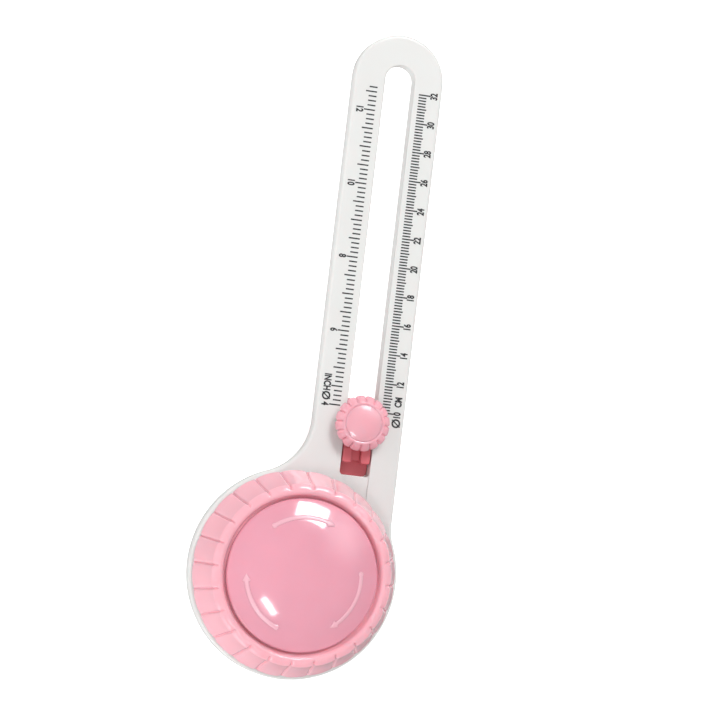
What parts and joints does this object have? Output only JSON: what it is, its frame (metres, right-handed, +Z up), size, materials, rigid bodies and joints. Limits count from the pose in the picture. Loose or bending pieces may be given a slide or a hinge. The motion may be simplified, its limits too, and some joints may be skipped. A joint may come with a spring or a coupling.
{
  "type": "rotary circle cutter",
  "caption": "Circle cutter: a palm knob on a rubber foot, a slotted arm that turns round it, and a clamped carriage with a small cutting wheel.",
  "frame": {"origin": "centre of the rubber foot's lower face, on the axis that the arm turns about", "axes": "+Z up along the turning axis; +Y along the arm from the knob to its far end; +X to the right, the side that the arm is offset to"},
  "size_m": [0.072, 0.2233, 0.0366],
  "materials": {
    "foot_rubber": "matt, lightly grained",
    "base_plastic": "satin moulded",
    "glide_plastic": "smooth acetal",
    "fastener_steel": "zinc plated",
    "ring_pink": "satin moulded",
    "dome_pink": "high gloss",
    "arm_white": "satin moulded",
    "bush_plastic": "smooth acetal",
    "carriage_pink": "satin moulded",
    "brass": "turned",
    "blade_steel": "ground",
    "knob_pink": "gloss moulded"
  },
  "bodies": {
    "hub": {"foot_pad": "foot_rubber", "base_disc": "base_plastic", "lower_glide_ring": "glide_plastic", "upper_glide_ring": "glide_plastic", "hub_screws": "fastener_steel", "grip_ring": "ring_pink", "dome_cap": "dome_pink"},
    "arm": {"arm": "arm_white", "arm_bush": "bush_plastic"},
    "carriage": {"carriage": "carriage_pink", "shoe": "carriage_pink", "shoe_screws": "fastener_steel", "clamp_stud": "fastener_steel", "clamp_washer": "glide_plastic", "wheel_keeper": "carriage_pink", "keeper_screw": "fastener_steel", "wheel_axle": "fastener_steel"},
    "clamp": {"clamp_knob": "knob_pink", "clamp_insert": "brass", "clamp_cap": "knob_pink"},
    "wheel": {"cutting_wheel": "blade_steel", "wheel_bush": "brass"}
  },
  "joints": [
    {"name": "arm_spin", "type": "hinge", "parent": "hub", "child": "arm", "pos_m": [0, 0, 0.0126], "axis": [0, 0, 1], "continuous": true},
    {"name": "carriage_slide", "type": "slide", "parent": "arm", "child": "carriage", "axis": [0, 1, 0], "range_m": [0, 0.11]},
    {"name": "clamp_turn", "type": "hinge", "parent": "carriage", "child": "clamp", "pos_m": [0.0169, 0.0532, 0.018], "axis": [0, 0, 1], "range_deg": [0, 180]},
    {"name": "wheel_spin", "type": "hinge", "parent": "carriage", "child": "wheel", "pos_m": [0.0079, 0.04937, 0.0048], "axis": [0.075, 0.9972, 0], "continuous": true}
  ]
}
